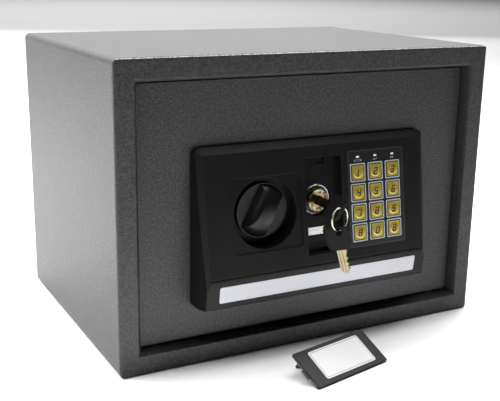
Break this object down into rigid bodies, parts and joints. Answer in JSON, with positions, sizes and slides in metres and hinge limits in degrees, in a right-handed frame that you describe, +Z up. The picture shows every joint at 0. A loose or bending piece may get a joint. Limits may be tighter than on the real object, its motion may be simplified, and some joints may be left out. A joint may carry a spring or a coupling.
{
  "type": "electronic safe deposit box",
  "caption": "Small steel safe with a keypad, turn knob, override key lock and loose lock cover; hinged door and working bolts",
  "frame": {"origin": "middle of the underside of the steel box, on the surface it stands on", "axes": "+X to the right seen from the front, +Y into the safe towards its back plate, +Z up; the front border, door and panel face -Y"},
  "size_m": [0.35, 0.3329, 0.25],
  "materials": {
    "body_coat": "dark grey wrinkle powder coat",
    "cover_coat": "satin grey powder coat",
    "stop_rubber": "black rubber strip",
    "bush_brass": "turned brass",
    "mat_felt": "charcoal needle felt",
    "plain_steel": "bright turned steel",
    "zinc_sheet": "zinc plated sheet steel",
    "panel_black": "moulded black plastic, satin",
    "knob_black": "moulded black plastic, semi gloss",
    "overlay_black": "black printed foil",
    "key_gold": "yellow printed key with a dark number",
    "label_silver": "satin silver foil",
    "paper_white": "white paper",
    "light_lens": "clear lens",
    "board_green": "green circuit board",
    "cable_red": "red cable",
    "cell_blue": "plain blue wrapped cell",
    "coil_brown": "taped copper winding",
    "lock_chrome": "polished chrome",
    "plug_brass": "brass plug",
    "key_nickel": "nickel plated brass",
    "bow_black": "black plastic key head",
    "ring_steel": "bright steel wire",
    "button_red": "red button",
    "spring_steel": "spring wire"
  },
  "bodies": {
    "safe_body": {"body_wrap": "body_coat", "back_plate": "body_coat", "strike_plate": "body_coat", "stop_strips": "stop_rubber", "hinge_bushes": "bush_brass", "floor_mat": "mat_felt"},
    "door": {"door_plate": "body_coat", "hinge_lugs": "body_coat", "hinge_pins": "plain_steel", "panel_housing": "panel_black", "label_strip": "label_silver", "paper_seal": "paper_white", "keypad_overlay": "overlay_black", "status_lights": "light_lens", "keypad_board": "board_green", "panel_screws": "plain_steel", "bolt_guide": "zinc_sheet", "mechanism_screws": "plain_steel", "inner_cover": "cover_coat", "cover_posts": "plain_steel", "cover_screws": "plain_steel", "control_board": "board_green", "keypad_cable": "cable_red", "battery_tray": "panel_black", "batteries": "cell_blue", "solenoid_frame": "zinc_sheet", "solenoid_coil": "coil_brown", "lock_barrel": "lock_chrome", "lock_nut": "zinc_sheet"},
    "knob_shaft": {"knob": "knob_black", "spindle": "plain_steel", "crank_disc": "zinc_sheet", "retaining_clip": "plain_steel"},
    "bolt_work": {"bolt_carriage": "zinc_sheet", "live_bolts": "plain_steel"},
    "plunger": {"solenoid_plunger": "plain_steel", "plunger_spring": "spring_steel"},
    "lock_core": {"lock_plug": "plug_brass", "lock_cam": "zinc_sheet"},
    "main_key": {"key_blade": "key_nickel", "key_bow": "bow_black"},
    "ring": {"key_ring": "ring_steel"},
    "spare_key": {"spare_key_blade": "key_nickel", "spare_key_bow": "bow_black"},
    "battery_lid": {"battery_cover": "panel_black"},
    "reset": {"reset_button": "button_red"},
    "loose_cover": {"lock_cover": "panel_black", "lock_cover_label": "label_silver"},
    "press_key_1": {"key_1": "key_gold"},
    "press_key_2": {"key_2": "key_gold"},
    "press_key_3": {"key_3": "key_gold"},
    "press_key_4": {"key_4": "key_gold"},
    "press_key_5": {"key_5": "key_gold"},
    "press_key_6": {"key_6": "key_gold"},
    "press_key_7": {"key_7": "key_gold"},
    "press_key_8": {"key_8": "key_gold"},
    "press_key_9": {"key_9": "key_gold"},
    "press_key_a": {"key_a": "key_gold"},
    "press_key_0": {"key_0": "key_gold"},
    "press_key_b": {"key_b": "key_gold"}
  },
  "joints": [
    {"name": "door_swing", "type": "hinge", "parent": "safe_body", "child": "door", "pos_m": [0.139, -0.108, 0.125], "axis": [0, 0, 1], "range_deg": [0, 100]},
    {"name": "knob_turn", "type": "hinge", "parent": "door", "child": "knob_shaft", "pos_m": [-0.0515, -0.12, 0.1235], "axis": [0, -1, 0], "range_deg": [0, 70]},
    {"name": "bolt_throw", "type": "slide", "parent": "door", "child": "bolt_work", "axis": [-1, 0, 0], "range_m": [0, 0.01491]},
    {"name": "plunger_lift", "type": "slide", "parent": "door", "child": "plunger", "axis": [0, 0, 1], "range_m": [0, 0.005], "deforming": ["plunger_spring"]},
    {"name": "key_turn", "type": "hinge", "parent": "door", "child": "lock_core", "pos_m": [0, -0.12, 0.1272], "axis": [0, -1, 0], "range_deg": [-90, 0]},
    {"name": "key_pull", "type": "slide", "parent": "lock_core", "child": "main_key", "axis": [0, -1, 0], "range_m": [-0.014, 0.005]},
    {"name": "ring_swing", "type": "hinge", "parent": "main_key", "child": "ring", "pos_m": [0.00084, -0.16, 0.12844], "axis": [-0.9613, -0.2756, 0], "range_deg": [0, 50]},
    {"name": "spare_key_swing", "type": "hinge", "parent": "ring", "child": "spare_key", "pos_m": [0.00084, -0.16, 0.10974], "axis": [0.809, 0.5878, 0], "range_deg": [-20, 26]},
    {"name": "battery_cover_lift", "type": "slide", "parent": "door", "child": "battery_lid", "axis": [0, 1, 0], "range_m": [0, 0.025]},
    {"name": "reset_press", "type": "slide", "parent": "door", "child": "reset", "axis": [0, -1, 0], "range_m": [0, 0.0015], "stiffness_N_per_m": 30, "springref_m": -0.0005},
    {"name": "press_1", "type": "slide", "parent": "door", "child": "press_key_1", "axis": [0, 0.9882, -0.1532], "range_m": [0, 0.0005], "stiffness_N_per_m": 60, "springref_m": -0.0005},
    {"name": "press_2", "type": "slide", "parent": "door", "child": "press_key_2", "axis": [0, 0.9882, -0.1532], "range_m": [0, 0.0005], "stiffness_N_per_m": 60, "springref_m": -0.0005},
    {"name": "press_3", "type": "slide", "parent": "door", "child": "press_key_3", "axis": [0, 0.9882, -0.1532], "range_m": [0, 0.0005], "stiffness_N_per_m": 60, "springref_m": -0.0005},
    {"name": "press_4", "type": "slide", "parent": "door", "child": "press_key_4", "axis": [0, 0.9882, -0.1532], "range_m": [0, 0.0005], "stiffness_N_per_m": 60, "springref_m": -0.0005},
    {"name": "press_5", "type": "slide", "parent": "door", "child": "press_key_5", "axis": [0, 0.9882, -0.1532], "range_m": [0, 0.0005], "stiffness_N_per_m": 60, "springref_m": -0.0005},
    {"name": "press_6", "type": "slide", "parent": "door", "child": "press_key_6", "axis": [0, 0.9882, -0.1532], "range_m": [0, 0.0005], "stiffness_N_per_m": 60, "springref_m": -0.0005},
    {"name": "press_7", "type": "slide", "parent": "door", "child": "press_key_7", "axis": [0, 0.9882, -0.1532], "range_m": [0, 0.0005], "stiffness_N_per_m": 60, "springref_m": -0.0005},
    {"name": "press_8", "type": "slide", "parent": "door", "child": "press_key_8", "axis": [0, 0.9882, -0.1532], "range_m": [0, 0.0005], "stiffness_N_per_m": 60, "springref_m": -0.0005},
    {"name": "press_9", "type": "slide", "parent": "door", "child": "press_key_9", "axis": [0, 0.9882, -0.1532], "range_m": [0, 0.0005], "stiffness_N_per_m": 60, "springref_m": -0.0005},
    {"name": "press_a", "type": "slide", "parent": "door", "child": "press_key_a", "axis": [0, 0.9882, -0.1532], "range_m": [0, 0.0005], "stiffness_N_per_m": 60, "springref_m": -0.0005},
    {"name": "press_0", "type": "slide", "parent": "door", "child": "press_key_0", "axis": [0, 0.9882, -0.1532], "range_m": [0, 0.0005], "stiffness_N_per_m": 60, "springref_m": -0.0005},
    {"name": "press_b", "type": "slide", "parent": "door", "child": "press_key_b", "axis": [0, 0.9882, -0.1532], "range_m": [0, 0.0005], "stiffness_N_per_m": 60, "springref_m": -0.0005},
    {"name": "lock_cover_lift", "type": "slide", "parent": "safe_body", "child": "loose_cover", "axis": [0, 0, 1], "range_m": [0, 0.05]}
  ],
  "couplings": [
    {"joint": "knob_turn", "follows": "bolt_throw", "rad_per_m": 81.924}
  ]
}
